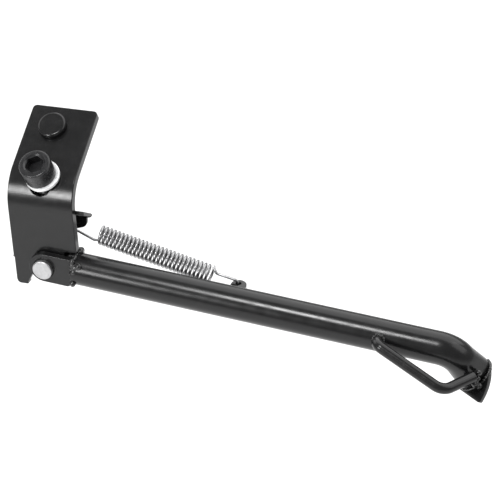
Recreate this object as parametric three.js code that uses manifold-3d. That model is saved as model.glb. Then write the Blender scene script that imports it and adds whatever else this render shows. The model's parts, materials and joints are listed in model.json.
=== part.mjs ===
// Motorcycle side stand: a bent mounting bracket, a leg that swings on a clevis pin,
// and an extension spring that holds the leg against its stops.
// Millimetres, +Z up. X runs along the bracket's bend, Y along the pivot pin.
import * as THREE from 'three';
import { mergeVertices } from 'three/addons/utils/BufferGeometryUtils.js';
import Module from 'manifold-3d';

const wasm = await Module();
wasm.setup();

const deg = Math.PI / 180;
const gap = 0.3;              // between pieces that touch

// Mounting bracket: 5 mm flat bar, its upper leaf folded back by 60 degrees
const bracket = {
  left: -21.1, right: 19.4, thickness: 5, cornerHeight: 50, foldAngle: 60 * deg,
  outerRadius: 25, upperLength: 55.9, cornerRound: 2.5,
};
const bossRadius = 11.6;      // round end of the lower leaf, about the pivot
const stopTab = { bottom: -15.9, innerBottom: -14.0, innerTop: -9.9, top: -8.1, round: 1.4 };
const lowerCorner = 9.7;      // height at which the leaf's right edge ends
// The bolt's slot, up the upper leaf: its lower end is drawn out over the bend
const slot = { x: -1.2, radius: 6.7, low: 5.1, lowReach: 10.6, high: 14.4, above: 3, below: -18 };

// Fasteners on the upper leaf
const bolt = { x: -1.0, up: 8.3, headRadius: 9.3, headHeight: 12, hexAcross: 10, hexDepth: 6.5,
  shankRadius: 5.9, shankLength: 25 };
const washer = { x: 0.1, up: 8.4, outer: 10.2, inner: 7.3, thickness: 2 };   // lies to one side of the bolt
const stud = { x: -4.4, up: 41.8, headRadius: 8.4, headHeight: 3.6, round: 1.4, spigotRadius: 6, spigotLength: 11 };
const mountPoint = { x: 0, up: 28 };      // on the upper leaf's back face, the part's origin

// Clevis and pivot
const legAngle = 5 * deg;     // the stowed leg points this far below the bend line
const legRadius = 9.5;
const legWall = 2.5;
const ear = { halfHeight: 9.3, thickness: 4, inner: 3.3, end: 17.0, round: 3 };
const web = { start: 12.9, top: 10.2 };
const pin = { radius: 6, front: 10.3, rear: 11, chamfer: 0.8, grooveRadius: 4.8, grooveStart: 8.75 };
const bush = { outer: 8, wall: 1.6 };
const pinWasher = { radius: 9, thickness: 1 };
const clip = { radius: 8.2, thickness: 0.9 };

// Leg tube, foot and foot loop, in the leg's own frame: x along the tube, z up
const legBend = { apex: 242, angle: 55 * deg, roll: 22.6 * deg, radius: 14 };
const footDistance = 24.3;    // from the bend's apex to the foot plate
const foot = { heel: -10.4, chord: -12.0, top: 10.4, thickness: 2.8, arcX: -12.8, arcY: -19.4, arcRadius: 32,
  lean: [-1.2, 0.9] };           // how far the sole's outline is shifted from the inner face's
// The tube's squashed end: how much wider and thinner it is, and its shift towards the heel
const squash = { wider: 0.14, thinner: 0.12, shift: 1.3 };
const loop = { radius: 3.15, start: 202.1, corner: [244.1, -24.9, -10] };

// Spring: one wire with a hook at each end
const spring = { y: 16.5, wire: 0.85, meanRadius: 5.1, turns: 28,
  coilStart: [26.5, 13.0], coilEnd: [94.9, -4.4] };
const upperHole = [2, 18.7];  // where the upper hook enters its lug
const upperLug = { thickness: 2.2, front: 12.6, top: 27.6, flangeLeft: -6, flangeRight: 24.2, holeRadius: 1.6 };
const lowerLug = { x: 111.8, halfWidth: 4.5, start: 9.8, end: 20.5, top: 2.3, thickness: 3,
  holeX: 111.4, holeRadius: 1.6 };

// ---- shared helpers ----

// A closed geometry as a solid that can be cut and joined
function solid(geometry) {
  const bare = geometry.clone();
  bare.deleteAttribute('normal');
  bare.deleteAttribute('uv');
  const merged = mergeVertices(bare, 1e-4);
  return new wasm.Manifold(new wasm.Mesh({
    numProp: 3,
    vertProperties: new Float32Array(merged.attributes.position.array),
    triVerts: new Uint32Array(merged.index.array),
  }));
}

// The solid's faces as a geometry again
function geometryOf(body) {
  const mesh = body.getMesh();
  const geometry = new THREE.BufferGeometry();
  geometry.setAttribute('position', new THREE.BufferAttribute(new Float32Array(mesh.vertProperties), 3));
  geometry.setIndex(new THREE.BufferAttribute(new Uint32Array(mesh.triVerts), 1));
  geometry.computeVertexNormals();
  return geometry;
}

const cut = (from, ...cutters) => geometryOf(cutters.reduce((body, c) => body.subtract(solid(c)), solid(from)));

// A shape drawn in x and z, given thickness from y0 to y1
function slabAlongY(shape, y0, y1, curveSegments = 16) {
  const geometry = new THREE.ExtrudeGeometry(shape, { depth: y1 - y0, bevelEnabled: false, curveSegments });
  return geometry.rotateX(Math.PI / 2).translate(0, y1, 0);
}

// A shape drawn in x and y, given thickness from z0 to z1
function slabAlongZ(shape, z0, z1, curveSegments = 16) {
  const geometry = new THREE.ExtrudeGeometry(shape, { depth: z1 - z0, bevelEnabled: false, curveSegments });
  return geometry.translate(0, 0, z0);
}

// A turned piece: its profile is pairs of radius and place along its axis, which becomes +Z
function turned(profile, segments = 32) {
  const points = profile.map(([radius, along]) => new THREE.Vector2(radius, along));
  return new THREE.LatheGeometry(points, segments).rotateX(Math.PI / 2);
}

// A path through corner points, each inner corner rounded to its radius, as stations
// with a direction, close together only where the path bends
function stationsOf(corners, radii, arcSteps) {
  const points = corners.map((corner) => new THREE.Vector3(...corner));
  const stations = [];
  const add = (point, direction) => stations.push({ point, direction });
  add(points[0].clone(), points[1].clone().sub(points[0]).normalize());
  for (let i = 1; i < points.length - 1; i += 1) {
    const arriving = points[i].clone().sub(points[i - 1]).normalize();
    const leaving = points[i + 1].clone().sub(points[i]).normalize();
    const turn = arriving.angleTo(leaving);
    const axis = arriving.clone().cross(leaving).normalize();
    const start = points[i].clone().addScaledVector(arriving, -radii[i - 1] * Math.tan(turn / 2));
    const inward = axis.clone().cross(arriving);
    const centre = start.clone().addScaledVector(inward, radii[i - 1]);
    for (let k = 0; k <= arcSteps; k += 1) {
      const angle = (turn * k) / arcSteps;
      const spoke = inward.clone().negate().applyAxisAngle(axis, angle).multiplyScalar(radii[i - 1]);
      add(centre.clone().add(spoke), arriving.clone().applyAxisAngle(axis, angle));
    }
  }
  const last = points.length - 1;
  add(points[last].clone(), points[last].clone().sub(points[last - 1]).normalize());
  return stations;
}

// A curve that gives its stations one by one, however far apart they are
class StationCurve extends THREE.Curve {
  constructor(stations) {
    super();
    this.stations = stations;
  }

  at(u) {
    return this.stations[Math.round(u * (this.stations.length - 1))];
  }

  getPointAt(u) {
    return this.at(u).point.clone();
  }

  getTangentAt(u) {
    return this.at(u).direction.clone();
  }
}

// A round bar or tube along stations
function barAlong(stations, radius, sides, boreRadius = 0) {
  const section = new THREE.Shape().absarc(0, 0, radius, 0, 2 * Math.PI, false);
  if (boreRadius > 0) section.holes.push(new THREE.Path().absarc(0, 0, boreRadius, 0, 2 * Math.PI, true));
  return new THREE.ExtrudeGeometry(section, {
    steps: stations.length - 1, curveSegments: sides, extrudePath: new StationCurve(stations),
  });
}

// ---- materials ----

const blackPaint = new THREE.MeshStandardMaterial({ color: 0x1c1c1d, roughness: 0.42, metalness: 0.15 });
const blackOxide = new THREE.MeshStandardMaterial({ color: 0x19191a, roughness: 0.5, metalness: 0.6 });
const zinc = new THREE.MeshStandardMaterial({ color: 0xcfd2d4, roughness: 0.3, metalness: 0.95 });
const brightSteel = new THREE.MeshStandardMaterial({ color: 0xbfc0c0, roughness: 0.45, metalness: 0.9 });
const bronze = new THREE.MeshStandardMaterial({ color: 0xa5793f, roughness: 0.45, metalness: 0.9 });

function named(name, geometry, material) {
  const mesh = new THREE.Mesh(geometry, material);
  mesh.name = name;
  return mesh;
}

// ---- frames: the pivot is each frame's reference ----

const outerFace = -bracket.thickness / 2;
const foldSin = Math.sin(bracket.foldAngle);
const foldCos = Math.cos(bracket.foldAngle);

// A place on the upper leaf: x along the bend, up from the fold's corner, out from its outer face
const onUpperLeaf = (x, up, out) => new THREE.Vector3(
  x, outerFace + up * foldSin - out * foldCos, bracket.cornerHeight + up * foldCos + out * foldSin);

const pivotFrame = new THREE.Group();
pivotFrame.position.copy(onUpperLeaf(mountPoint.x, mountPoint.up, -bracket.thickness)).negate();

// In this frame x runs along the bend, y up the upper leaf and z out of its outer face
const upperLeafFrame = new THREE.Group();
upperLeafFrame.position.copy(onUpperLeaf(0, 0, 0));
upperLeafFrame.rotation.x = Math.PI / 2 - bracket.foldAngle;

const legFrame = new THREE.Group();
legFrame.rotation.y = legAngle;
pivotFrame.add(upperLeafFrame, legFrame);

// ---- mounting bracket ----

function bracketStrip() {
  const { outerRadius, thickness, cornerHeight, foldAngle, upperLength } = bracket;
  const tangent = outerRadius * Math.tan(foldAngle / 2);
  const centreY = outerFace + outerRadius;
  const centreZ = cornerHeight - tangent;
  const outerTop = onUpperLeaf(0, upperLength, 0);
  const innerTop = onUpperLeaf(0, upperLength, -thickness);
  const profile = new THREE.Shape();
  profile.moveTo(outerFace, stopTab.bottom);
  profile.lineTo(-outerFace, stopTab.bottom);
  profile.lineTo(-outerFace, centreZ);
  profile.absarc(centreY, centreZ, outerRadius - thickness, Math.PI, Math.PI - foldAngle, true);
  profile.lineTo(innerTop.y, innerTop.z);
  profile.lineTo(outerTop.y, outerTop.z);
  profile.absarc(centreY, centreZ, outerRadius, Math.PI - foldAngle, Math.PI, false);
  profile.closePath();
  const strip = new THREE.ExtrudeGeometry(profile,
    { depth: bracket.right - bracket.left, bevelEnabled: false, curveSegments: 10 });
  // the profile's axes are y and z, and its depth becomes x
  const toYZ = new THREE.Matrix4().makeBasis(
    new THREE.Vector3(0, 1, 0), new THREE.Vector3(0, 0, 1), new THREE.Vector3(1, 0, 0));
  return strip.applyMatrix4(toYZ).translate(bracket.left, 0, 0);
}

// What the lower leaf keeps, in x and z: the stop tab, the round boss and the right edge
function lowerLeafOutline() {
  const { left, right } = bracket;
  const { bottom, innerBottom, innerTop, top, round } = stopTab;
  const above = 200;
  const outline = new THREE.Shape();
  outline.moveTo(left, above);
  outline.lineTo(left, bottom + 2 * round);
  outline.quadraticCurveTo(left + 0.4, bottom, left + 2 * round, bottom);
  outline.lineTo(innerBottom - round, bottom);
  outline.quadraticCurveTo(innerBottom - 0.2, bottom, innerBottom + 0.5, bottom + round);
  outline.lineTo(innerTop, top);
  outline.absarc(0, 0, bossRadius, 228 * deg, 380 * deg, false);
  outline.lineTo(12.2, lowerCorner);
  outline.lineTo(right, lowerCorner);
  outline.lineTo(right, above);
  outline.closePath();
  return outline;
}

// What the upper leaf keeps, in its own x and y: the two rounded top corners
function upperLeafOutline() {
  const { left, right, upperLength, cornerRound: r } = bracket;
  const below = -120;
  const outline = new THREE.Shape();
  outline.moveTo(left, below);
  outline.lineTo(right, below);
  outline.lineTo(right, upperLength - r);
  outline.absarc(right - r, upperLength - r, r, 0, Math.PI / 2, false);
  outline.absarc(left + r, upperLength - r, r, Math.PI / 2, Math.PI, false);
  outline.closePath();
  return outline;
}

// The slot is punched before the bar is folded, so its end walls point at the fold's axis
function slotCutter() {
  const { outerRadius, foldAngle } = bracket;
  const foldStart = outerRadius * Math.tan(foldAngle / 2);
  const outline = new THREE.Shape();
  outline.absarc(slot.x, slot.high, slot.radius, 0, Math.PI, false);
  outline.absellipse(slot.x, slot.low, slot.radius, slot.lowReach, Math.PI, 2 * Math.PI, false, 0);
  outline.closePath();
  const cutter = slabAlongZ(outline, slot.below, slot.above, 14);
  const corners = cutter.getAttribute('position');
  for (let i = 0; i < corners.count; i += 1) {
    const narrowing = 1 + corners.getZ(i) / outerRadius;
    corners.setY(i, foldStart + (corners.getY(i) - foldStart) * narrowing);
  }
  return cutter;
}

function makeBracket() {
  upperLeafFrame.updateMatrix();
  const place = (geometry) => geometry.applyMatrix4(upperLeafFrame.matrix);
  const farBack = 120;
  const keepLower = slabAlongY(lowerLeafOutline(), -farBack, farBack, 10);
  const keepUpper = place(slabAlongZ(upperLeafOutline(), -farBack, farBack, 6));
  const boltSlot = place(slotCutter());
  const studHole = place(turned([[0, -20], [stud.spigotRadius + gap, -20], [stud.spigotRadius + gap, 20], [0, 20]])
    .translate(stud.x, stud.up, 0));
  const pivotHole = new THREE.CylinderGeometry(bush.outer + gap, bush.outer + gap, 20, 40);
  const body = solid(bracketStrip()).intersect(solid(keepLower)).intersect(solid(keepUpper));
  return geometryOf(body.subtract(solid(boltSlot)).subtract(solid(studHole)).subtract(solid(pivotHole)));
}

pivotFrame.add(named('mounting_bracket', makeBracket(), blackPaint));

// ---- fasteners on the upper leaf ----

function makeStud() {
  const { headRadius: r, headHeight: h, round, spigotRadius, spigotLength } = stud;
  const base = gap;
  const profile = [[0, -spigotLength], [spigotRadius - 0.8, -spigotLength], [spigotRadius, -spigotLength + 0.8],
    [spigotRadius, base], [r - 0.6, base], [r, base + 0.6]];
  for (let k = 0; k <= 4; k += 1) {
    const angle = (k / 4) * (Math.PI / 2);
    profile.push([r - round + round * Math.cos(angle), base + h - round + round * Math.sin(angle)]);
  }
  profile.push([0, base + h]);
  return turned(profile, 36).translate(stud.x, stud.up, 0);
}

const washerBase = gap;
const headBase = washerBase + washer.thickness + gap;

function makeBolt() {
  const { headRadius: r, headHeight: h, shankRadius, shankLength, hexAcross, hexDepth } = bolt;
  const tip = headBase - shankLength;
  const turnedBody = turned([[0, tip], [shankRadius - 1, tip], [shankRadius, tip + 1], [shankRadius, headBase],
    [r - 0.4, headBase], [r, headBase + 0.4], [r, headBase + h - 1], [r - 0.3, headBase + h - 0.3],
    [r - 1, headBase + h], [0, headBase + h]], 40);
  const hexCorner = hexAcross / 2 / Math.cos(30 * deg);
  const socket = new THREE.CylinderGeometry(hexCorner, hexCorner, hexDepth + 1, 6).rotateX(Math.PI / 2)
    .translate(0, 0, headBase + h - hexDepth / 2 + 0.5);
  return cut(turnedBody, socket).translate(bolt.x, bolt.up, 0);
}

function makeBoltWasher() {
  const { outer, inner, thickness } = washer;
  const top = washerBase + thickness;
  return turned([[inner, washerBase], [outer, washerBase], [outer, top], [inner, top], [inner, washerBase]], 40)
    .translate(washer.x, washer.up, 0);
}

upperLeafFrame.add(
  named('locating_stud', makeStud(), blackPaint),
  named('mounting_bolt', makeBolt(), blackOxide),
  named('bolt_washer', makeBoltWasher(), zinc),
);

// ---- spring lug behind the bracket ----

// A bent strip: a leaf behind the bracket and a flange that slopes up to the bracket's back
function makeUpperLug() {
  const { thickness: t, front, top, flangeLeft, flangeRight, holeRadius } = upperLug;
  const slope = 34 * deg;
  const back = -outerFace + gap;
  const rise = (front + t - back) * Math.tan(slope);
  const lift = t / Math.cos(slope);
  const profile = new THREE.Shape();
  profile.moveTo(front, 8);
  profile.lineTo(front + t, 8);
  profile.lineTo(front + t, top);
  profile.lineTo(back, top + rise);
  profile.lineTo(back, top + rise - lift);
  profile.lineTo(front, top + t * Math.tan(slope) - lift);
  profile.closePath();
  const strip = new THREE.ExtrudeGeometry(profile, { depth: flangeRight - flangeLeft, bevelEnabled: false });
  const toYZ = new THREE.Matrix4().makeBasis(
    new THREE.Vector3(0, 1, 0), new THREE.Vector3(0, 0, 1), new THREE.Vector3(1, 0, 0));
  strip.applyMatrix4(toYZ).translate(flangeLeft, 0, 0);

  const [holeX, holeZ] = upperHole;
  const outline = new THREE.Shape();
  outline.moveTo(flangeLeft, 60);
  outline.lineTo(flangeLeft, holeZ);
  outline.absarc(holeX, holeZ - 0.5, 4.6, 200 * deg, 290 * deg, false);
  outline.absarc(16, 23.2, 5, 290 * deg, 360 * deg, false);
  outline.lineTo(21, top - 1.6);
  outline.lineTo(flangeRight - 1, top - 1.6);
  outline.quadraticCurveTo(flangeRight, top - 1.6, flangeRight, top);
  outline.lineTo(flangeRight, 60);
  outline.closePath();
  const hole = new THREE.CylinderGeometry(holeRadius, holeRadius, 20, 20)
    .translate(holeX, front + t / 2, holeZ);
  const kept = solid(strip).intersect(solid(slabAlongY(outline, 0, 40, 8)));
  return geometryOf(kept.subtract(solid(hole)));
}

pivotFrame.add(named('upper_spring_lug', makeUpperLug(), blackPaint));

// ---- pivot: bush in the bracket, pin in the ears ----

const half = bracket.thickness / 2;
const toY = (geometry) => geometry.rotateX(-Math.PI / 2);     // a turned piece's axis becomes +Y

function makeBush() {
  const inner = bush.outer - bush.wall;
  return toY(turned([[inner, -half], [bush.outer, -half], [bush.outer, half], [inner, half], [inner, -half]], 40));
}

function makePin() {
  const { radius: r, front, rear, chamfer: c, grooveRadius, grooveStart } = pin;
  const grooveEnd = grooveStart + clip.thickness + 2 * gap;
  return toY(turned([[0, -front], [r - c, -front], [r, -front + c], [r, grooveStart], [grooveRadius, grooveStart],
    [grooveRadius, grooveEnd], [r, grooveEnd], [r, rear - c], [r - c, rear], [0, rear]], 40));
}

function makePinWasher() {
  const start = ear.inner + ear.thickness + gap;
  const end = start + pinWasher.thickness;
  const inner = pin.radius + gap;
  return toY(turned([[inner, start], [pinWasher.radius, start], [pinWasher.radius, end], [inner, end], [inner, start]], 36));
}

// An E-shaped retaining ring in the pin's groove, open at the bottom
function makeClip() {
  const inner = pin.grooveRadius + gap;
  const mouth = 55 * deg;
  const outline = new THREE.Shape();
  outline.absarc(0, 0, clip.radius, -90 * deg + mouth, 270 * deg - mouth, false);
  outline.absarc(0, 0, inner, 270 * deg - mouth, -90 * deg + mouth, true);
  outline.closePath();
  const start = pin.grooveStart + gap;
  return slabAlongY(outline, start, start + clip.thickness, 24);
}

pivotFrame.add(named('pivot_bush', makeBush(), bronze));
legFrame.add(
  named('pivot_pin', makePin(), brightSteel),
  named('pin_washer', makePinWasher(), zinc),
  named('pin_retaining_ring', makeClip(), blackOxide),
);

// ---- clevis: two ears and the web between them ----

function makeEar(y0, y1) {
  const { halfHeight: h, end, round } = ear;
  const outline = new THREE.Shape();
  outline.absarc(0, 0, h, 90 * deg, 270 * deg, false);
  outline.lineTo(end - round, -h);
  outline.absarc(end - round, -h + round, round, -90 * deg, 0, false);
  outline.lineTo(end, h);
  outline.closePath();
  outline.holes.push(new THREE.Path().absarc(0, 0, pin.radius + gap, 0, 2 * Math.PI, true));
  return slabAlongY(outline, y0, y1, 20);
}

function makeWeb() {
  const width = 2 * (ear.inner - gap);
  const height = web.top + ear.halfHeight;
  const length = ear.end - web.start;
  return new THREE.BoxGeometry(length, width, height)
    .translate(web.start + length / 2, 0, (web.top - ear.halfHeight) / 2);
}

legFrame.add(
  named('front_ear', makeEar(-ear.inner - ear.thickness, -ear.inner), blackPaint),
  named('rear_ear', makeEar(ear.inner, ear.inner + ear.thickness), blackPaint),
  named('clevis_web', makeWeb(), blackPaint),
);

// ---- leg tube, foot plate and foot loop ----

const apex = new THREE.Vector3(legBend.apex, 0, 0);
const footward = new THREE.Vector3(Math.cos(legBend.angle), Math.sin(legBend.angle) * Math.sin(legBend.roll),
  -Math.sin(legBend.angle) * Math.cos(legBend.roll));
const footCentre = apex.clone().addScaledVector(footward, footDistance);
const chordward = new THREE.Vector3(0.464, 0.635, 0.616);     // across the tube's end, away from the chord
chordward.addScaledVector(footward, -chordward.dot(footward)).normalize();
const toeward = footward.clone().cross(chordward);            // along the chord, to the outer side

function makeLegTube() {
  const end = apex.clone().addScaledVector(footward, footDistance - gap);
  const stations = stationsOf([[ear.end + gap, 0, 0], apex.toArray(), end.toArray()], [legBend.radius], 9);
  const tube = barAlong(stations, legRadius, 14, legRadius - legWall);
  // the end is squashed a little, wider along chordward and thinner along toeward
  const position = tube.attributes.position;
  const point = new THREE.Vector3();
  for (let i = 0; i < position.count; i += 1) {
    point.fromBufferAttribute(position, i);
    const offset = point.clone().sub(apex);
    const along = THREE.MathUtils.clamp(offset.dot(footward) / footDistance, 0, 1);
    point.addScaledVector(chordward, squash.wider * along * offset.dot(chordward));
    point.addScaledVector(toeward, -along * (squash.thinner * offset.dot(toeward) + squash.shift));
    position.setXYZ(i, point.x, point.y, point.z);
  }
  return tube;
}

// A plate across the end of the tube: straight along one side, an arc round the toe, and
// a rim that leans over towards the heel
function makeFootPlate() {
  const { heel, chord, top, thickness, arcX, arcY, arcRadius: R, lean } = foot;
  const onArc = (angle) => [arcX + R * Math.cos(angle), arcY + R * Math.sin(angle)];
  const low = Math.asin((chord - arcY) / R);
  const high = Math.asin((top - arcY) / R);
  const outline = new THREE.Shape();
  outline.moveTo(heel + 1.5, chord);
  outline.lineTo(onArc(low)[0] - 1.5, chord);
  outline.quadraticCurveTo(...onArc(low), ...onArc(low + 2 / R));
  outline.absarc(arcX, arcY, R, low + 2 / R, high, false);
  outline.lineTo(heel + 3, top);
  outline.quadraticCurveTo(heel, top, heel, top - 4);
  outline.lineTo(heel, chord + 1.5);
  outline.quadraticCurveTo(heel, chord, heel + 1.5, chord);
  const plate = slabAlongZ(outline, -thickness, 0, 16);
  const through = footward.clone().negate().addScaledVector(toeward, -lean[0] / thickness)
    .addScaledVector(chordward, -lean[1] / thickness);
  return plate.applyMatrix4(new THREE.Matrix4().makeBasis(toeward, chordward, through).setPosition(footCentre));
}

// A bent round bar from the tube's front to the foot plate, for the rider's boot
function makeFootLoop() {
  const side = new THREE.Vector3(0, -Math.sin(105 * deg), -Math.cos(105 * deg));
  const onTube = (radial) => new THREE.Vector3(loop.start, 0, 0).addScaledVector(side, radial);
  const end = footCentre.clone().addScaledVector(footward, -10.7).addScaledVector(toeward, 13.0)
    .addScaledVector(chordward, -3);
  const corners = [onTube(legRadius + gap).toArray(), onTube(16).toArray(), loop.corner, end.toArray()];
  return barAlong(stationsOf(corners, [5, 8], 7), loop.radius, 8);
}

function makeLowerLug() {
  const { x, halfWidth: w, start, end, top, thickness, holeX, holeRadius } = lowerLug;
  const outline = new THREE.Shape();
  outline.moveTo(x - w - 1, start);
  outline.lineTo(x + w + 1, start);
  outline.lineTo(x + w, start + 3);
  outline.absarc(x, end - w, w, 0, Math.PI, false);
  outline.lineTo(x - w, start + 3);
  outline.closePath();
  outline.holes.push(new THREE.Path().absarc(holeX, spring.y, holeRadius, 0, 2 * Math.PI, true));
  return slabAlongZ(outline, top - thickness, top, 12);
}

legFrame.add(
  named('leg_tube', makeLegTube(), blackPaint),
  named('foot_plate', makeFootPlate(), blackPaint),
  named('foot_loop', makeFootLoop(), blackPaint),
  named('lower_spring_lug', makeLowerLug(), blackPaint),
);

// ---- spring ----

const coilStart = new THREE.Vector3(spring.coilStart[0], spring.y, spring.coilStart[1]);
const coilEnd = new THREE.Vector3(spring.coilEnd[0], spring.y, spring.coilEnd[1]);
const coilAxis = coilEnd.clone().sub(coilStart).normalize();
const coilUp = new THREE.Vector3(0, 1, 0).cross(coilAxis).negate();   // square to the axis, upwards
const acrossY = new THREE.Vector3(0, 1, 0);

// A place on the coil: turns from its start, counted from the bottom
function onCoil(turn, lengthwise) {
  const angle = 2 * Math.PI * turn;
  return coilStart.clone().lerp(coilEnd, lengthwise)
    .addScaledVector(coilUp, -spring.meanRadius * Math.cos(angle))
    .addScaledVector(acrossY, spring.meanRadius * Math.sin(angle));
}

function makeCoil() {
  const perTurn = 10;
  const turns = spring.turns + 0.5;
  const count = Math.round(turns * perTurn);
  const points = [];
  for (let i = 0; i <= count; i += 1) points.push(onCoil((turns * i) / count, i / count));
  const stations = points.map((point, i) => {
    const before = points[Math.max(i - 1, 0)];
    const after = points[Math.min(i + 1, count)];
    return { point, direction: after.clone().sub(before).normalize() };
  });
  return barAlong(stations, spring.wire, 3);
}

function makeUpperHook() {
  const [holeX, holeZ] = upperHole;
  const start = onCoil(0, 0).addScaledVector(coilAxis, -2 * spring.wire - gap);
  const corners = [start.toArray(), [23.0, spring.y, 8.7], [holeX, spring.y, holeZ], [holeX, 9.5, holeZ]];
  return barAlong(stationsOf(corners, [1.2, 1.6], 5), spring.wire, 4);
}

legFrame.updateMatrix();
const lowerHookHole = new THREE.Vector3(lowerLug.holeX - 0.4, spring.y, lowerLug.top - lowerLug.thickness / 2)
  .applyMatrix4(legFrame.matrix);
const legUp = new THREE.Vector3(0, 0, 1).transformDirection(legFrame.matrix);

function makeLowerHook() {
  const start = onCoil(0.5, 1).addScaledVector(coilAxis, 2 * spring.wire + gap);
  const overHole = lowerHookHole.clone().addScaledVector(legUp, 3.2);
  const underHole = lowerHookHole.clone().addScaledVector(legUp, -5);
  const corners = [start.toArray(), [98.2, spring.y, -2.9], overHole.toArray(), underHole.toArray()];
  return barAlong(stationsOf(corners, [1.2, 2], 5), spring.wire, 4);
}

pivotFrame.add(
  named('spring_coil', makeCoil(), zinc),
  named('upper_spring_hook', makeUpperHook(), zinc),
  named('lower_spring_hook', makeLowerHook(), zinc),
);

const sideStand = new THREE.Group();
sideStand.add(pivotFrame);

export default sideStand;
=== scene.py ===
import json
import math
import random
import bpy
from mathutils import Matrix, Vector


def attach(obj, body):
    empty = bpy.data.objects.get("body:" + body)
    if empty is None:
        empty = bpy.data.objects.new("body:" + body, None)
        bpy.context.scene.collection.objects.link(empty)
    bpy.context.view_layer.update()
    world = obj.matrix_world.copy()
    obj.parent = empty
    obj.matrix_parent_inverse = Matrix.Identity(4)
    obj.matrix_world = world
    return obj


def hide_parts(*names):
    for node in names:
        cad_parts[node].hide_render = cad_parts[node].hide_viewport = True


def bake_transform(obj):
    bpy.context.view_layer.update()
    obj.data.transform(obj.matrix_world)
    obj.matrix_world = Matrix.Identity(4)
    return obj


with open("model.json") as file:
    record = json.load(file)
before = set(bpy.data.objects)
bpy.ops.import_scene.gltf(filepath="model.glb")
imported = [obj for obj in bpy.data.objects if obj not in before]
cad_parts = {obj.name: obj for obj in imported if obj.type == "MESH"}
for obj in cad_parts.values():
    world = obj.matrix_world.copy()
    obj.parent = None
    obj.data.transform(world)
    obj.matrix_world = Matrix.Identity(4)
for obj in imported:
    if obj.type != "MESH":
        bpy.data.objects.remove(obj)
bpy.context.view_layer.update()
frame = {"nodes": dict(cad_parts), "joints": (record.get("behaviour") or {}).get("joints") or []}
print("frame loaded:", len(frame["nodes"]), "CAD nodes")

mm = 0.001
deg = math.pi / 180
chance = random.Random(11)        # for the small unevenness of weld beads

# Frames that several pieces share: the pivot's, the leg's from the pivot, and the upper leaf's from its fold
hinge = {joint["name"]: joint for joint in frame["joints"]}
legLean = 5 * deg                                               # how far the leg slopes down at rest
pivotFrame = Matrix.Translation(Vector(hinge["leg_swing"]["pos_m"]))
legFrame = pivotFrame @ Matrix.Rotation(legLean, 4, "Y")        # x along the tube
leafInPivot = (Matrix.Translation((0, -2.5 * mm, 50 * mm))
               @ Matrix.Rotation(30 * deg, 4, "X"))             # y up the upper leaf, z out of it
leafFrame = pivotFrame @ leafInPivot

# Directions for flat and turned pieces, which are drawn lying down
standing = Matrix.Rotation(90 * deg, 4, "X")                    # drawn in x and y, stood up in x and z
sideways = Matrix(((0, 0, 1, 0), (1, 0, 0, 0), (0, 1, 0, 0), (0, 0, 0, 1)))   # drawn in y and z
acrossY = Matrix.Rotation(-90 * deg, 4, "X")                    # a turned piece's axis becomes +y


# ---- small helpers ----

def objectMode():
    if bpy.context.object and bpy.context.object.mode != "OBJECT":
        bpy.ops.object.mode_set(mode="OBJECT")


def clear():
    objectMode()
    bpy.ops.object.select_all(action="DESELECT")


def only(piece):
    clear()
    piece.select_set(True)
    bpy.context.view_layer.objects.active = piece


def edit(kind):
    bpy.ops.object.mode_set(mode="EDIT")
    bpy.ops.mesh.select_mode(type=kind)


# selects only the faces or edges whose middle passes the test, and leaves the piece in edit mode
def pick(piece, kind, test):
    objectMode()
    bpy.context.tool_settings.mesh_select_mode = (False, kind == "EDGE", kind == "FACE")
    mesh = piece.data
    for part in (mesh.vertices, mesh.edges, mesh.polygons):
        part.foreach_set("select", [False] * len(part))
    if kind == "FACE":
        for face in mesh.polygons:
            face.select = test(face.center, face.normal)
    else:
        for edge in mesh.edges:
            a, b = (mesh.vertices[i].co for i in edge.vertices)
            edge.select = test((a + b) / 2, (b - a).normalized())
    edit(kind)


def extrude(x=0.0, y=0.0, z=0.0):
    bpy.ops.mesh.extrude_region_move(TRANSFORM_OT_translate={"value": (x, y, z)})


def scaleTo(factor, centre):
    bpy.ops.transform.resize(value=(factor, factor, 1), center_override=centre)


def outward():
    bpy.ops.mesh.select_all(action="SELECT")
    bpy.ops.mesh.remove_doubles(threshold=1e-6)
    bpy.ops.mesh.normals_make_consistent(inside=False)


def modify(piece, kind, **values):
    bpy.context.view_layer.objects.active = piece
    modifier = piece.modifiers.new(kind.lower(), kind)
    for key, value in values.items():
        setattr(modifier, key, value)
    bpy.ops.object.modifier_apply(modifier=modifier.name)


def combine(piece, tool, operation):
    objectMode()
    modify(piece, "BOOLEAN", object=tool, operation=operation, solver="EXACT")
    bpy.data.objects.remove(tool)


def soften(piece, width, segments=3, angle=35):
    objectMode()
    modify(piece, "BEVEL", width=width * mm, segments=segments, limit_method="ANGLE",
           angle_limit=angle * deg, use_clamp_overlap=False, miter_outer="MITER_ARC")


# rounded corners show their flat neighbours flat
def smooth(piece, angle=38):
    only(piece)
    bpy.ops.object.shade_smooth_by_angle(angle=angle * deg)
    modify(piece, "WEIGHTED_NORMAL", keep_sharp=True, weight=60)


# moves a piece's mesh, and leaves its object at the origin
def move(piece, place):
    only(piece)
    piece.matrix_world = place
    bpy.ops.object.transform_apply(location=True, rotation=True, scale=True)


# settles a piece: its place, then its body, its finish and the CAD nodes that it stands for
def settle(piece, name, place, body, material, slotName, *stoodFor):
    move(piece, place)
    piece.name = name
    piece.data.name = name
    piece.data.materials.clear()
    piece.data.materials.append(material)
    if body:
        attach(piece, body)
    if stoodFor:
        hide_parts(*stoodFor)


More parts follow.
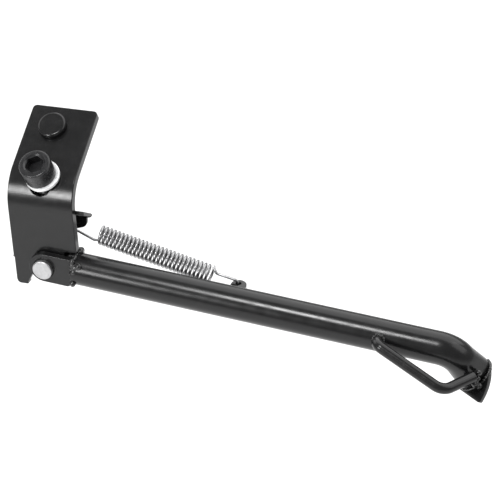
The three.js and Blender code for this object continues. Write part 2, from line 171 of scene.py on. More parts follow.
# a solid of revolution: a filled circle pulled up its axis, through (radius, height) in mm
def turn(profile, sides=72):
    clear()
    radius, height = profile[0]
    bpy.ops.mesh.primitive_circle_add(vertices=sides, radius=radius * mm, fill_type="NGON",
                                      location=(0, 0, height * mm))
    piece = bpy.context.object
    bpy.ops.object.transform_apply(location=True)
    edit("FACE")
    bpy.ops.mesh.select_all(action="SELECT")
    for nextRadius, nextHeight in profile[1:]:
        extrude(z=(nextHeight - height) * mm)
        scaleTo(nextRadius / radius, (0, 0, nextHeight * mm))
        radius, height = nextRadius, nextHeight
    outward()
    objectMode()
    return piece


# a ring: the same with an open middle, and the last edge joined to the first
def turnRing(profile, sides=72):
    clear()
    radius, height = profile[0]
    bpy.ops.mesh.primitive_circle_add(vertices=sides, radius=radius * mm, fill_type="NOTHING",
                                      location=(0, 0, height * mm))
    piece = bpy.context.object
    bpy.ops.object.transform_apply(location=True)
    edit("EDGE")
    bpy.ops.mesh.select_all(action="SELECT")
    for nextRadius, nextHeight in profile[1:] + profile[:1]:
        extrude(z=(nextHeight - height) * mm)
        scaleTo(nextRadius / radius, (0, 0, nextHeight * mm))
        radius, height = nextRadius, nextHeight
    outward()
    objectMode()
    return piece


# points on an arc, its angles in degrees
def arc(x, y, radius, start, end, steps):
    return [(x + radius * math.cos((start + (end - start) * k / steps) * deg),
             y + radius * math.sin((start + (end - start) * k / steps) * deg)) for k in range(steps + 1)]


# a flat plate: one vertex walked round the outline in x and y (mm), filled, then pulled along z
def plate(outline, low, high):
    clear()
    firstX, firstY = outline[0]
    bpy.ops.mesh.primitive_plane_add(size=0.1 * mm, location=(firstX * mm, firstY * mm, low * mm))
    piece = bpy.context.object
    bpy.ops.object.transform_apply(location=True)
    edit("VERT")
    bpy.ops.mesh.select_all(action="SELECT")
    bpy.ops.mesh.merge(type="CENTER")
    for (x0, y0), (x1, y1) in zip(outline, outline[1:]):
        extrude((x1 - x0) * mm, (y1 - y0) * mm)
    bpy.ops.mesh.select_all(action="SELECT")
    bpy.ops.mesh.edge_face_add()
    bpy.ops.mesh.select_mode(type="FACE")
    bpy.ops.mesh.select_all(action="SELECT")
    extrude(z=(high - low) * mm)
    outward()
    objectMode()
    return piece


def cylinder(radius, low, high, x=0.0, y=0.0, sides=64):
    clear()
    bpy.ops.mesh.primitive_cylinder_add(vertices=sides, radius=radius * mm, depth=(high - low) * mm,
                                        location=(x * mm, y * mm, (low + high) / 2 * mm))
    bpy.ops.object.transform_apply(location=True)
    return bpy.context.object


# a round bar pulled through corner points (mm), spun round each inner corner
def bar(corners, bends, radius, sides=32, steps=12):
    clear()
    points = [Vector(corner) * mm for corner in corners]
    along = (points[1] - points[0]).normalized()
    bpy.ops.mesh.primitive_circle_add(vertices=sides, radius=radius * mm, fill_type="NGON",
                                      location=points[0], rotation=along.to_track_quat("Z", "Y").to_euler())
    piece = bpy.context.object
    bpy.ops.object.transform_apply(location=True, rotation=True)
    edit("FACE")
    bpy.ops.mesh.select_all(action="SELECT")
    here = points[0]
    for i, bend in enumerate(bends, 1):
        arriving = (points[i] - points[i - 1]).normalized()
        leaving = (points[i + 1] - points[i]).normalized()
        angle = arriving.angle(leaving)
        axis = arriving.cross(leaving).normalized()
        start = points[i] - arriving * bend * mm * math.tan(angle / 2)
        centre = start + axis.cross(arriving) * bend * mm
        extrude(*(start - here))
        bpy.ops.mesh.spin(steps=steps, angle=-angle, center=centre, axis=axis)
        here = points[i] + leaving * bend * mm * math.tan(angle / 2)
    extrude(*(points[-1] - here))
    outward()
    objectMode()
    return piece


# a weld bead: overlapping drops along a path, each a little uneven, melted together
def weld(places, size, uneven=0.25, voxel=0.35):
    clear()
    drops = []
    for place in places:
        radius = size * (1 + uneven * chance.uniform(-1, 1))
        shift = Vector([chance.uniform(-1, 1) for _ in range(3)]) * size * uneven * 0.5
        bpy.ops.mesh.primitive_uv_sphere_add(segments=14, ring_count=8, radius=radius * mm,
                                             location=(Vector(place) + shift) * mm)
        drops.append(bpy.context.object)
    for drop in drops:
        drop.select_set(True)
    bpy.context.view_layer.objects.active = drops[0]
    bpy.ops.object.join()
    piece = bpy.context.object
    bpy.ops.object.transform_apply(location=True)
    modify(piece, "REMESH", mode="VOXEL", voxel_size=voxel * mm)
    modify(piece, "SMOOTH", factor=0.5, iterations=3)
    only(piece)
    bpy.ops.object.shade_smooth()
    return piece


# ---- finishes ----

def shaderOf(name):
    material = bpy.data.materials.new(name)
    material.use_nodes = True
    nodes = material.node_tree.nodes
    return material, nodes, material.node_tree.links, nodes["Principled BSDF"]


# noise on the object's own coordinates, with its grain in mm
def grainOf(nodes, links, size, detail):
    place = nodes.new("ShaderNodeTexCoord")
    noise = nodes.new("ShaderNodeTexNoise")
    noise.inputs["Scale"].default_value = 1000 / size
    noise.inputs["Detail"].default_value = detail
    links.new(place.outputs["Object"], noise.inputs["Vector"])
    return noise.outputs["Fac"]


# the noise's middle part, spread between two values
def between(nodes, links, factor, low, high):
    span = nodes.new("ShaderNodeMapRange")
    span.inputs["From Min"].default_value = 0.35
    span.inputs["From Max"].default_value = 0.65
    span.inputs["To Min"].default_value = low
    span.inputs["To Max"].default_value = high
    links.new(factor, span.inputs["Value"])
    return span.outputs["Result"]


def tint(nodes, links, factor, dark, light):
    ramp = nodes.new("ShaderNodeValToRGB")
    ramp.color_ramp.elements[0].position = 0.3
    ramp.color_ramp.elements[0].color = (*dark, 1)
    ramp.color_ramp.elements[1].position = 0.7
    ramp.color_ramp.elements[1].color = (*light, 1)
    links.new(factor, ramp.inputs["Fac"])
    return ramp.outputs["Color"]


# one more layer of bump on top of those already there
def dent(nodes, links, shader, height, strength, distance):
    bump = nodes.new("ShaderNodeBump")
    bump.inputs["Strength"].default_value = strength
    bump.inputs["Distance"].default_value = distance * mm
    links.new(height, bump.inputs["Height"])
    if shader.inputs["Normal"].is_linked:
        links.new(shader.inputs["Normal"].links[0].from_socket, bump.inputs["Normal"])
    links.new(bump.outputs["Normal"], shader.inputs["Normal"])


# colours and roughness vary in patches; each grain is its size in mm, strength and depth in mm
def makeFinish(name, dark, light, metallic, roughness, patch, grains, specular=0.5):
    material, nodes, links, shader = shaderOf(name)
    shader.inputs["Metallic"].default_value = metallic
    shader.inputs["Specular IOR Level"].default_value = specular
    colour = tint(nodes, links, grainOf(nodes, links, patch, 4), dark, light)
    gloss = between(nodes, links, grainOf(nodes, links, patch * 0.6, 5), *roughness)
    links.new(colour, shader.inputs["Base Color"])
    links.new(gloss, shader.inputs["Roughness"])
    for size, strength, distance in grains:
        dent(nodes, links, shader, grainOf(nodes, links, size, 3), strength, distance)
    return material


satinBlack = makeFinish("satin black paint", (0.005, 0.005, 0.0052), (0.008, 0.008, 0.0083), 0.0,
                        (0.2, 0.27), 9, [(0.6, 0.07, 0.015), (4.5, 0.06, 0.04)], specular=0.36)
weldBlack = makeFinish("painted weld", (0.005, 0.005, 0.0052), (0.01, 0.01, 0.0103), 0.0,
                       (0.2, 0.3), 3, [(0.5, 0.25, 0.05), (1.6, 0.35, 0.15)], specular=0.6)
boltBlack = makeFinish("black oxide", (0.008, 0.008, 0.009), (0.014, 0.014, 0.015), 0.0,
                       (0.24, 0.32), 3, [(0.5, 0.05, 0.01)], specular=0.45)
brightZinc = makeFinish("bright zinc", (0.84, 0.845, 0.85), (0.92, 0.925, 0.93), 0.3,
                        (0.25, 0.35), 4, [(0.4, 0.05, 0.02)])
springZinc = makeFinish("spring wire", (0.3, 0.3, 0.305), (0.4, 0.4, 0.405), 1.0,
                        (0.26, 0.34), 2.5, [(0.3, 0.05, 0.02)])
turnedSteel = makeFinish("turned steel", (0.42, 0.42, 0.425), (0.5, 0.5, 0.505), 1.0,
                         (0.34, 0.44), 2, [(0.3, 0.1, 0.02)])
bearingBronze = makeFinish("bearing bronze", (0.36, 0.22, 0.09), (0.5, 0.33, 0.14), 1.0,
                           (0.36, 0.5), 3, [(0.3, 0.12, 0.02)])
print("finishes made")


# ---- mounting bracket ----

bracketSize = {"left": -21.1, "right": 19.4, "thickness": 5.0, "corner": 50.0, "fold": 60.0, "outer": 25.0,
               "upper": 55.9, "round": 2.5, "edge": 0.55}
tabSize = {"bottom": -15.9, "inner": -13.3, "innerLow": -13.5, "lift": 1.4, "meetsX": -9.9, "meetsZ": -8.1,
           "shoulder": 2.3, "step": 0.45}
bossSize = {"radius": 11.6, "cornerZ": 9.7, "cornerX": 12.2, "hole": 8.0}
slotSize = {"x": -1.2, "radius": 6.7, "low": 5.1, "reach": 10.6, "high": 14.4, "above": 3, "below": -18}
studSize = {"x": -4.4, "up": 41.8, "radius": 8.4, "height": 3.9, "round": 1.5, "spigot": 6.0, "length": 11,
            "hole": 6.3}


# the flat bar: its lower leaf, spun round the fold and pulled out to the upper leaf's end
def makeBar():
    size, low = bracketSize, tabSize["bottom"]
    width = size["right"] - size["left"]
    tangent = size["outer"] * math.tan(size["fold"] / 2 * deg)
    foldStart = size["corner"] - tangent
    middle = (size["left"] + width / 2, 0, (low + foldStart) / 2)
    clear()
    bpy.ops.mesh.primitive_cube_add(size=1, location=[place * mm for place in middle],
                                    scale=(width * mm, size["thickness"] * mm, (foldStart - low) * mm))
    piece = bpy.context.object
    bpy.ops.object.transform_apply(location=True, rotation=True, scale=True)
    pick(piece, "FACE", lambda centre, normal: normal.z > 0.9)
    bpy.ops.mesh.spin(steps=20, angle=size["fold"] * deg,
                      center=(0, (size["outer"] - size["thickness"] / 2) * mm, foldStart * mm), axis=(1, 0, 0))
    reach = (size["upper"] - tangent) * mm
    extrude(0, reach * math.sin(size["fold"] * deg), reach * math.cos(size["fold"] * deg))
    outward()
    # its two top corners
    top = leafInPivot @ Vector((0, size["upper"] * mm, 0))
    across = (leafInPivot.to_3x3() @ Vector((0, 0, 1))).normalized()
    pick(piece, "EDGE", lambda middle, along: abs(along.dot(across)) > 0.99 and middle.z > top.z - 6 * mm)
    bpy.ops.mesh.bevel(offset=size["round"] * mm, segments=6, affect="EDGES")
    objectMode()
    return piece


def makeBracket():
    size, tab, boss = bracketSize, tabSize, bossSize
    left, right, low = size["left"], size["right"], tab["bottom"]
    piece = makeBar()
    # all goes between the stop tab and the round boss, and below the right corner
    waste = [(tab["inner"], low - 5), (tab["innerLow"], low + tab["lift"]), (tab["meetsX"], tab["meetsZ"])]
    waste += arc(0, 0, boss["radius"], 228, 380, 30)
    waste += [(boss["cornerX"], boss["cornerZ"]), (right + 5, boss["cornerZ"]), (right + 5, low - 5)]
    # a small step narrows the tab's left edge, and its corner is eased
    step, shoulder = tab["step"], tab["shoulder"]
    nick = [(left - 3, shoulder), (left + 0.05, shoulder), (left + step, shoulder - 0.8),
            (left + step - 0.05, low + 2.8), (left + 2 * step, low + 0.9), (left + 2.6, low - 0.05),
            (left + 2.6, low - 3), (left - 3, low - 3)]
    tools = [(plate(waste, -10, 10), standing), (plate(nick, -10, 10), standing), (makeSlotTool(), leafInPivot),
             (cylinder(studSize["hole"], -20, 20, studSize["x"], studSize["up"]), leafInPivot),
             (cylinder(boss["hole"], -20, 20), standing)]
    for tool, place in tools:
        tool.matrix_world = place
        combine(piece, tool, "DIFFERENCE")
    soften(piece, size["edge"])
    return piece


# punched before the bar is folded, so its end walls point at the fold's axis
def makeSlotTool():
    slot, outer = slotSize, bracketSize["outer"]
    foldStart = outer * math.tan(bracketSize["fold"] / 2 * deg)
    outline = arc(slot["x"], slot["high"], slot["radius"], 0, 180, 24)
    outline += [(x, slot["low"] + (y - slot["low"]) * slot["reach"] / slot["radius"])
                for x, y in arc(slot["x"], slot["low"], slot["radius"], 180, 360, 32)]
    tool = plate(outline, slot["below"], slot["above"])
    for height in (slot["below"], slot["above"]):
        pick(tool, "FACE", lambda centre, normal: abs(centre.z - height * mm) < 1e-4)
        bpy.ops.transform.resize(value=(1, 1 + height / outer, 1), center_override=(0, foldStart * mm, 0))
    objectMode()
    return tool


bracket = makeBracket()
smooth(bracket)
settle(bracket, "bracket_plate", pivotFrame, "bracket", satinBlack, "black_paint", "mounting_bracket")
print("bracket made:", len(bracket.data.polygons), "faces")


# ---- fasteners on the upper leaf ----

def makeStud():
    size = studSize
    r, h, rounding = size["radius"], size["height"], size["round"]
    profile = [(size["spigot"] - 0.8, -size["length"]), (size["spigot"], -size["length"] + 0.8),
               (size["spigot"], 0.15), (r - 0.7, 0.15), (r - 0.15, 0.4), (r, 0.9)]
    profile += [(r - rounding + x, h - rounding + y) for x, y in arc(0, 0, rounding, 0, 90, 8)]
    return turn(profile)


stud = makeStud()
smooth(stud)
settle(stud, "stud", leafFrame @ Matrix.Translation((studSize["x"] * mm, studSize["up"] * mm, 0)),
       "bracket", satinBlack, "black_paint", "locating_stud")

boltSize = {"x": -1.0, "up": 8.3, "base": 2.3, "radius": 9.3, "height": 12.3, "round": 1.1, "hex": 10.0,
            "deep": 6.5, "shank": 5.9, "root": 4.95, "length": 25, "pitch": 1.75, "plain": 7.0}


def makeBolt():
    size = boltSize
    base, r, h, rounding = size["base"], size["radius"], size["height"], size["round"]
    shank, root, pitch = size["shank"], size["root"], size["pitch"]
    height = base - size["length"] + 1
    profile = [(root - 1, height - 1), (root, height)]
    while height < base - size["plain"]:
        profile += [(shank, height + pitch * 0.45), (shank, height + pitch * 0.55), (root, height + pitch)]
        height += pitch
    profile += [(shank, height + 0.8), (shank, base), (r - 0.5, base), (r, base + 0.5)]
    profile += [(r - rounding + x, base + h - rounding + y) for x, y in arc(0, 0, rounding, 0, 90, 6)]
    # the hexagon's mouth is countersunk
    mouth = size["hex"] / 2 / math.cos(30 * deg)
    profile += [(mouth + 0.75, base + h), (mouth - 0.15, base + h - 0.8)]
    piece = turn(profile, 96)
    socket = cylinder(mouth, base + h - size["deep"], base + h + 1, sides=6)
    combine(piece, socket, "DIFFERENCE")
    return piece


bolt = makeBolt()
smooth(bolt, 32)
settle(bolt, "socket_bolt", leafFrame @ Matrix.Translation((boltSize["x"] * mm, boltSize["up"] * mm, 0)),
       "bracket", boltBlack, "black_oxide", "mounting_bolt")

washerSize = {"x": 0.1, "up": 8.4, "inner": 7.3, "outer": 10.2, "low": 0.1, "high": 2.3, "edge": 0.35}


def makeWasher():
    size = washerSize
    inner, outer, low, high, edge = (size[key] for key in ("inner", "outer", "low", "high", "edge"))
    return turnRing([(inner + edge, low), (outer - edge, low), (outer, low + edge), (outer, high - edge),
                     (outer - edge, high), (inner + edge, high), (inner, high - edge), (inner, low + edge)], 96)


washer = makeWasher()
smooth(washer, 32)
settle(washer, "washer", leafFrame @ Matrix.Translation((washerSize["x"] * mm, washerSize["up"] * mm, 0)),
       "bracket", brightZinc, "zinc", "bolt_washer")
print("fasteners made")


# ---- spring lug behind the bracket ----

lugSize = {"thick": 2.2, "front": 12.6, "top": 27.6, "bottom": 8.0, "left": -6.0, "right": 24.2, "holeX": 2.0,
           "holeZ": 18.7, "hole": 1.6, "ear": 4.6, "armX": 16.0, "armZ": 23.2, "armRound": 5.0, "armEnd": 21.2,
           "slope": 34.0, "back": 2.5, "edge": 0.4}


def makeUpperLug():
    size = lugSize
    thick, front, top, bottom, back = (size[key] for key in ("thick", "front", "top", "bottom", "back"))
    left, right, holeX, holeZ = (size[key] for key in ("left", "right", "holeX", "holeZ"))
    rise = (front + thick - back) * math.tan(size["slope"] * deg)
    lift = thick / math.cos(size["slope"] * deg)
    # its leaf hangs down, and its flange slopes up to the bracket's back, round an easy bend
    section = [(front + thick, bottom), (front + thick, top - 1.2), (front + thick - 0.5, top + 0.1),
               (front + thick - 1.7, top + 1.2), (back, top + rise), (back, top + rise - lift),
               (front - 0.6, top + 2.3 - lift), (front, top + 1.0 - lift), (front, bottom)]
    piece = plate(section, left, right)
    move(piece, sideways)
    # seen from the front, an ear round the hook's hole and an arm to the right
    outline = [(left - 1, 60), (left - 1, holeZ), (left + 3.4, holeZ - 0.5)]
    outline += arc(holeX, holeZ - 0.5, size["ear"], 190, 288, 12)
    outline += arc(size["armX"], size["armZ"], size["armRound"], 292, 360, 10)
    outline += [(size["armEnd"], top - 1.7), (right - 1.2, top - 1.7), (right - 0.3, top - 1.3),
                (right + 0.02, top - 0.4), (right + 0.02, 60)]
    keep = plate(outline, -40, 0)
    keep.matrix_world = standing
    combine(piece, keep, "INTERSECT")
    hole = cylinder(size["hole"], -40, 0, holeX, holeZ, 32)
    hole.matrix_world = standing
    combine(piece, hole, "DIFFERENCE")
    soften(piece, size["edge"])
    return piece


upperLug = makeUpperLug()
smooth(upperLug)
settle(upperLug, "upper_lug", pivotFrame, "bracket", satinBlack, "black_paint", "upper_spring_lug")


# ---- pivot ----

bushSize = {"inner": 6.4, "outer": 8.0, "half": 2.5, "edge": 0.3}


def makeBush():
    inner, outer, half, edge = (bushSize[key] for key in ("inner", "outer", "half", "edge"))
    return turnRing([(inner, -half), (outer - edge, -half), (outer, edge - half), (outer, half - edge),
                     (outer - edge, half), (inner, half)])


bush = makeBush()
smooth(bush, 32)
settle(bush, "bush", pivotFrame @ acrossY, "bracket", bearingBronze, "bronze", "pivot_bush")

pinSize = {"radius": 6.0, "front": 10.3, "rear": 11.0, "round": 0.7, "groove": 4.8, "start": 8.75, "end": 10.25}


def makePin():
    size = pinSize
    r, front, rounding = size["radius"], size["front"], size["round"]
    # the front end is slightly dished, with a rounded rim
    profile = [(r - 1.6, -front + 0.25), (r - 1.15, -front), (r - rounding, -front)]
    profile += [(r - rounding + x, -front + rounding + y) for x, y in arc(0, 0, rounding, -75, 0, 5)]
    profile += [(r, size["start"]), (size["groove"], size["start"]), (size["groove"], size["end"]),
                (r - 0.2, size["end"]), (r - 0.2, size["rear"] - 0.5), (r - 0.7, size["rear"])]
    return turn(profile)


pin = makePin()
smooth(pin, 32)
settle(pin, "pin", legFrame @ acrossY, "leg", turnedSteel, "bright_steel", "pivot_pin")

rearWasherSize = {"inner": 6.3, "outer": 9.0, "low": 7.35, "high": 8.6, "edge": 0.2}


def makeRearWasher():
    inner, outer, low, high, edge = (rearWasherSize[key] for key in ("inner", "outer", "low", "high", "edge"))
    return turnRing([(inner, low), (outer - edge, low), (outer, low + edge), (outer, high - edge),
                     (outer - edge, high), (inner, high)])


rear = makeRearWasher()
smooth(rear, 32)
settle(rear, "rear_washer", legFrame @ acrossY, "leg", brightZinc, "zinc", "pin_washer")

clipSize = {"inner": 5.0, "outer": 8.2, "mouth": 55, "low": -9.95, "high": -9.05, "edge": 0.2}


# a ring open at its bottom, by the mouth's angle to each side
def makeClip():
    size = clipSize
    first, last = size["mouth"] - 90, 270 - size["mouth"]
    outline = arc(0, 0, size["outer"], first, last, 40) + arc(0, 0, size["inner"], last, first, 40)
    piece = plate(outline, size["low"], size["high"])
    soften(piece, size["edge"], 2)
    return piece


clip = makeClip()
smooth(clip)
settle(clip, "retaining_ring", legFrame @ standing, "leg", boltBlack, "black_oxide", "pin_retaining_ring")
print("pivot made")


# ---- clevis ----

earSize = {"half": 9.3, "thick": 4.0, "inner": 3.3, "end": 17.2, "round": 3.0, "hole": 6.15,
           "edge": 0.45}


def makeEar():
    size = earSize
    h, end, rounding = size["half"], size["end"], size["round"]
    outline = arc(0, 0, h, 90, 270, 36) + arc(end - rounding, -h + rounding, rounding, -90, 0, 8) + [(end, h)]
    piece = plate(outline, 0, size["thick"])
    combine(piece, cylinder(size["hole"], -10, 20), "DIFFERENCE")
    soften(piece, size["edge"])
    return piece


frontEar = makeEar()
only(frontEar)
bpy.ops.object.duplicate(linked=False)
rearEar = bpy.context.object
for ear, name, node, y in ((frontEar, "ear_front", "front_ear", -earSize["inner"]),
                           (rearEar, "ear_rear", "rear_ear", earSize["inner"] + earSize["thick"])):
    smooth(ear)
    earPlace = legFrame @ Matrix.Translation((0, y * mm, 0)) @ standing
    settle(ear, name, earPlace, "leg", satinBlack, "black_paint", node)

webSize = {"start": 12.9, "end": 17.3, "top": 10.2, "bottom": -9.3, "half": 3.3, "corner": 1.4, "edge": 0.5}


def makeWeb():
    size = webSize
    start, end, top, bottom, corner = (size[key] for key in ("start", "end", "top", "bottom", "corner"))
    piece = plate([(start, bottom), (end, bottom), (end, top), (start + corner, top), (start, top - corner)],
                  -size["half"], size["half"])
    soften(piece, size["edge"])
    return piece


web = makeWeb()
smooth(web)
settle(web, "web", legFrame @ standing, "leg", satinBlack, "black_paint", "clevis_web")
print("clevis made")


# ---- leg tube ----

tubeSize = {"radius": 9.5, "start": 17.3, "apex": 242.0, "bend": 14.0, "angle": 55.0, "roll": 22.6,
            "round": 9.0, "end": 24.2, "plate": 24.3, "wider": 0.16, "thinner": 0.12, "shift": 1.3}

# The foot's own frame: x to the toe, y off the plate's straight side, and -z down
footAngle, footRoll = tubeSize["angle"] * deg, tubeSize["roll"] * deg
footward = Vector((math.cos(footAngle), math.sin(footAngle) * math.sin(footRoll),
                   -math.sin(footAngle) * math.cos(footRoll)))
chordward = Vector((0.464, 0.635, 0.616))
chordward = (chordward - footward * chordward.dot(footward)).normalized()
toeward = footward.cross(chordward)
apex = Vector((tubeSize["apex"], 0, 0))
footTurn = Matrix((toeward, chordward, -footward)).transposed().to_4x4()
inFoot = Matrix.Translation((apex + footward * tubeSize["plate"]) * mm) @ footTurn
footPlace = legFrame @ inFoot


def makeTube():
    size = tubeSize
    corners = [(size["start"], 0, 0), apex, apex + footward * size["round"]]
    piece = bar(corners, [size["bend"]], size["radius"], 64, 18)
    # beyond the bend it is squashed: wider across the foot, and thinner from heel to toe
    pick(piece, "FACE", lambda centre, normal: normal.dot(footward) > 0.99)
    move(piece, inFoot.inverted())
    edit("FACE")
    steps, wide, thin = 4, 1.0, 1.0
    for step in range(1, steps + 1):
        nextWide, nextThin = 1 + size["wider"] * step / steps, 1 - size["thinner"] * step / steps
        extrude(-size["shift"] / steps * mm, 0, (size["round"] - size["end"]) / steps * mm)
        bpy.ops.transform.resize(value=(nextThin / thin, nextWide / wide, 1), center_override=(0, 0, 0))
        wide, thin = nextWide, nextThin
    move(piece, inFoot)
    return piece


tube = makeTube()
smooth(tube, 50)
settle(tube, "tube", legFrame, "leg", satinBlack, "black_paint", "leg_tube")


# ---- foot plate ----

footSize = {"heel": -10.4, "straight": -12.0, "top": 10.4, "thick": 2.8, "x": -12.8, "y": -19.4,
            "radius": 32.0, "lean": (-1.2, 0.9), "edge": 0.45}


# straight along one side, an arc round the toe, and the heel's corners eased
def makeFootPlate():
    size = footSize
    heel, straight, top, r = (size[key] for key in ("heel", "straight", "top", "radius"))
    low = math.asin((straight - size["y"]) / r) / deg
    high = math.asin((top - size["y"]) / r) / deg
    tip = size["x"] + r * math.cos(low * deg)
    outline = [(heel + 1.5, straight), (tip - 1.9, straight), (tip - 0.8, straight + 0.25),
               (tip - 0.2, straight + 0.9)]
    outline += arc(size["x"], size["y"], r, low + 4, high, 24)
    outline += [(heel + 3, top), (heel + 0.9, top - 0.9), (heel, top - 3.5), (heel, straight + 1.5),
                (heel + 0.4, straight + 0.4)]
    piece = plate(outline, -size["thick"], 0)
    # the sole is shifted, so that the rim leans over towards the heel
    pick(piece, "FACE", lambda centre, normal: normal.z < -0.9)
    leanX, leanY = size["lean"]
    bpy.ops.transform.translate(value=(leanX * mm, leanY * mm, 0))
    soften(piece, size["edge"])
    return piece


foot = makeFootPlate()
smooth(foot)
settle(foot, "foot", footPlace, "leg", satinBlack, "black_paint", "foot_plate")


# ---- foot loop ----

loopSize = {"radius": 3.15, "start": 202.1, "turn": 105.0, "root": 9.0, "out": 16.0,
            "corner": (244.1, -24.9, -10.0), "bends": (5, 8), "endReach": 13.6, "endToe": 13.0,
            "endChord": -3.0, "edge": 0.4}
loopFoot = Vector((loopSize["start"], 0, 0))
loopSide = Vector((0, -math.sin(loopSize["turn"] * deg), -math.cos(loopSize["turn"] * deg)))


# out from the tube's side, along below it, and back in to the foot
def makeLoop():
    size = loopSize
    end = apex + footward * size["endReach"] + toeward * size["endToe"] + chordward * size["endChord"]
    corners = [loopFoot + loopSide * size["root"], loopFoot + loopSide * size["out"], size["corner"], end]
    piece = bar(corners, size["bends"], size["radius"])
    soften(piece, size["edge"], 3, 60)
    return piece


loop = makeLoop()
smooth(loop, 50)
settle(loop, "boot_loop", legFrame, "leg", satinBlack, "black_paint", "foot_loop")


# ---- lower spring lug ----

lowerLugSize = {"x": 111.8, "half": 4.5, "near": 8.9, "end": 20.5, "top": 2.3, "thick": 3.0, "holeX": 111.4,
                "holeY": 16.5, "hole": 1.6, "edge": 0.35}


# a tongue that widens to its root on the tube
def makeLowerLug():
    size = lowerLugSize
    x, half, near = size["x"], size["half"], size["near"]
    outline = [(x - half - 1, near), (x + half + 1, near), (x + half, near + 3)]
    outline += arc(x, size["end"] - half, half, 0, 180, 20) + [(x - half, near + 3)]
    piece = plate(outline, size["top"] - size["thick"], size["top"])
    combine(piece, cylinder(size["hole"], -10, 10, size["holeX"], size["holeY"], 32), "DIFFERENCE")
    soften(piece, size["edge"])
    return piece


lowerLug = makeLowerLug()
smooth(lowerLug)
settle(lowerLug, "lower_lug", legFrame, "leg", satinBlack, "black_paint", "lower_spring_lug")
print("leg made")


# ---- spring: one wire, hooked at both ends ----

springSize = {"y": 16.5, "wire": 0.85, "mean": 5.1, "turns": 28.5, "perTurn": 28, "start": (26.5, 13.0),
              "end": (94.9, -4.4), "upperHole": (2.0, 18.7), "upperKnee": (22.6, 8.9),
              "lowerKnee": (98.2, -2.9), "tip": 9.5}


# a place in the spring's own plane, seen from the pivot
def inSpring(x, z):
    return Vector((x, springSize["y"], z))


def springPath():
    size, lug = springSize, lowerLugSize
    start, end = inSpring(*size["start"]), inSpring(*size["end"])
    along, across = (end - start).normalized(), Vector((0, 1, 0))
    up = along.cross(across)
    count = round(size["turns"] * size["perTurn"])
    coil = []
    for i in range(count + 1):
        angle = 2 * math.pi * size["turns"] * i / count
        coil.append(start.lerp(end, i / count) - up * size["mean"] * math.cos(angle)
                    + across * size["mean"] * math.sin(angle))
    legTurn = Matrix.Rotation(legLean, 3, "Y")
    lowerHole = legTurn @ Vector((lug["holeX"] - 0.4, size["y"], lug["top"] - 1.5))
    legUp = legTurn @ Vector((0, 0, 1))
    upperHole = inSpring(*size["upperHole"])
    upperTip = Vector((upperHole.x, size["tip"], upperHole.z))
    first = rounded([upperTip, upperHole, inSpring(*size["upperKnee"]), coil[0] + along * 0.2], [1.8, 2.4])
    last = rounded([coil[-1] - along * 0.2, inSpring(*size["lowerKnee"]), lowerHole + legUp * 3.2,
                    lowerHole - legUp * 5], [2.0, 2.2])
    return first[:-1] + coil[1:-1] + last[1:]


# corner points joined by straights, with each inner corner rounded
def rounded(corners, radii, steps=8):
    path = [corners[0]]
    for before, corner, after, radius in zip(corners, corners[1:], corners[2:], radii):
        arriving = (corner - before).normalized()
        leaving = (after - corner).normalized()
        angle = arriving.angle(leaving)
        axis = arriving.cross(leaving).normalized()
        start = corner - arriving * radius * math.tan(angle / 2)
        centre = start + axis.cross(arriving) * radius
        for k in range(steps + 1):
            path.append(centre + Matrix.Rotation(angle * k / steps, 3, axis) @ (start - centre))
    return path + [corners[-1]]


def makeSpring():
    clear()
    bpy.ops.curve.primitive_nurbs_path_add(radius=1)
    wire = bpy.context.object
    curve = wire.data
    curve.splines.clear()
    path = springPath()
    spline = curve.splines.new("POLY")
    spline.points.add(len(path) - 1)
    for point, place in zip(spline.points, path):
        point.co = (*(place * mm), 1)
    curve.dimensions = "3D"
    curve.twist_mode = "MINIMUM"
    curve.bevel_depth = springSize["wire"] * mm
    curve.bevel_resolution = 3
    curve.use_fill_caps = True
    bpy.ops.object.convert(target="MESH")
    piece = bpy.context.object
    edit("VERT")
    outward()
    only(piece)
    bpy.ops.object.shade_smooth_by_angle(angle=60 * deg)
    return piece


spring = makeSpring()
settle(spring, "spring", pivotFrame, None, springZinc, "zinc",
       "spring_coil", "upper_spring_hook", "lower_spring_hook")
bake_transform(spring)
print("spring made:", len(spring.data.polygons), "faces")


# ---- weld beads ----

# places evenly along a straight
def line(start, end, count):
    start, end = Vector(start), Vector(end)
    return [start.lerp(end, k / (count - 1)) for k in range(count)]


clevisWelds = {
    "weld_front_ear": line((17.6, -6.8, 8.0), (17.6, -7.0, -5.6), 8)
    + [(19.5, -7.6, 5.2), (21.5, -7.4, 6.0), (19.2, -8.6, 2.6), (18.6, -8.4, -5.5)],
    "weld_rear_ear": line((17.6, 7.0, 8.4), (17.6, 7.4, -8.0), 9),
    "weld_top": line((17.4, -6.5, 8.6), (17.4, 6.5, 8.6), 7) + line((18.5, 3.5, 9.2), (18.0, 6.6, 8.2), 3),
    "weld_bottom": line((17.4, -6.0, -8.0), (17.4, 6.5, -8.0), 7),
}

# a ring round the loop's root, drops where its end meets the tube and the foot, and a bead
# half round the tube's end on the plate
alongTube = Vector((1, 0, 0))
acrossLoop = loopSide.cross(alongTube)
loopRoot = [loopFoot + loopSide * 9.3
            + (alongTube * math.cos(a * deg) + acrossLoop * math.sin(a * deg)) * 3.2 for a in range(0, 331, 30)]
loopTip = [(9.6, -6.5, 8.2), (9.8, -3.2, 7.6), (9.4, 0.2, 8.6), (12.0, 0.6, 9.2), (12.4, -5.8, 6.2),
           (10.6, -5.0, 4.4), (10.4, -2.0, 5.4), (10.8, -4.4, 2.2)]
aroundTube = [(8.7 * math.cos(a * deg), 10.4 * math.sin(a * deg), 0.3) for a in range(-100, 100, 9)]
lowerLugRoot = line((107.2, 9.2, 2.4), (116.4, 9.2, 2.4), 8) + line((107.2, 9.2, -0.8), (116.4, 9.2, -0.8), 8)
lugDepth = lugSize["front"] + lugSize["thick"] - lugSize["back"]
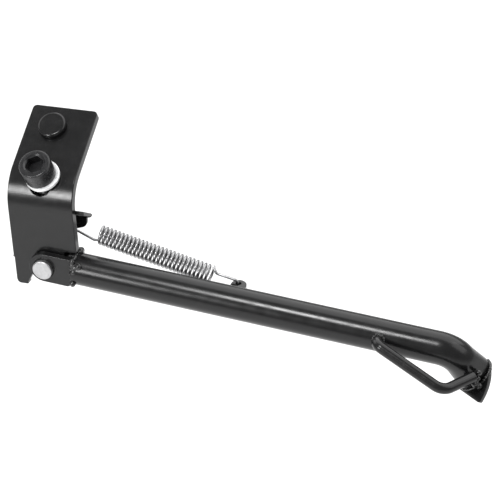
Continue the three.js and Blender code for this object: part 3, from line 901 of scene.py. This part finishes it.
lugTop = lugSize["top"] + lugDepth * math.tan(lugSize["slope"] * deg)
upperLugRoot = line((-5.4, 2.9, lugTop + 0.3), (17.6, 2.9, lugTop + 0.3), 18)

for name, places in clevisWelds.items():
    settle(weld(places, 1.7), name, legFrame, "leg", weldBlack, "black_paint")
settle(weld(loopRoot, 1.1), "weld_loop_start", legFrame, "leg", weldBlack, "black_paint")
settle(weld(loopTip, 1.9), "weld_loop_end", footPlace, "leg", weldBlack, "black_paint")
settle(weld(aroundTube, 1.1, uneven=0.2), "weld_foot", footPlace, "leg", weldBlack, "black_paint")
settle(weld(lowerLugRoot, 1.1), "weld_lower_lug", legFrame, "leg", weldBlack, "black_paint")
settle(weld(upperLugRoot, 1.2), "weld_upper_lug", pivotFrame, "bracket", weldBlack, "black_paint")
print("welds made")


# ---- floor, lights and camera ----

# the floor lies clear of the leg when it hangs straight down
floorSize = {"side": 7.0, "drop": 0.3, "shade": 0.86}
floorHeight = hinge["leg_swing"]["pos_m"][2] - floorSize["drop"]
clear()
bpy.ops.mesh.primitive_plane_add(size=floorSize["side"], location=(0.1, 0, floorHeight))
floor = bpy.context.object
floor.name = "floor"
floorFinish, nodes, links, shader = shaderOf("pale floor")
shader.inputs["Base Color"].default_value = (floorSize["shade"],) * 3 + (1,)
shader.inputs["Roughness"].default_value = 0.9
floor.data.materials.append(floorFinish)

world = bpy.data.worlds.new("studio")
bpy.context.scene.world = world
world.use_nodes = True
world.node_tree.nodes["Background"].inputs["Color"].default_value = (1, 1, 1, 1)
world.node_tree.nodes["Background"].inputs["Strength"].default_value = 0.4

lookAt = Vector((0.11, -0.02, -0.06))
lamps = [
    # name, direction from the object, distance, width, height, power
    ("front", (-0.46, -0.86, 0.34), 1.3, 0.30, 0.34, 9),
    ("above", (-0.10, -0.50, 0.86), 1.4, 0.24, 0.34, 10),
    ("left", (-0.95, 0.3, 0.7), 1.8, 1.2, 1.2, 8),
    ("right", (0.95, 0.15, 0.7), 1.8, 1.2, 1.2, 8),
    ("back", (0.1, 0.60, 0.80), 2.0, 2.8, 2.4, 42),
]
for name, direction, distance, width, height, power in lamps:
    bpy.ops.object.light_add(type="AREA", location=lookAt + Vector(direction).normalized() * distance)
    lamp = bpy.context.object
    lamp.name = name
    lamp.data.shape = "RECTANGLE"
    lamp.data.size, lamp.data.size_y = width, height
    lamp.data.energy = power
    lamp.rotation_euler = Vector(direction).to_track_quat("Z", "Y").to_euler()

bpy.ops.object.camera_add(location=(0.47123, -0.96762, 0.57578),
                          rotation=(59.0485 * deg, 2.6144 * deg, 18.5512 * deg))
camera = bpy.context.object
camera.data.sensor_width = 36
camera.data.lens = 151.2
camera.data.clip_start = 0.05
bpy.context.scene.camera = camera
bpy.context.scene.view_settings.view_transform = "Standard"
print("lights and camera set")
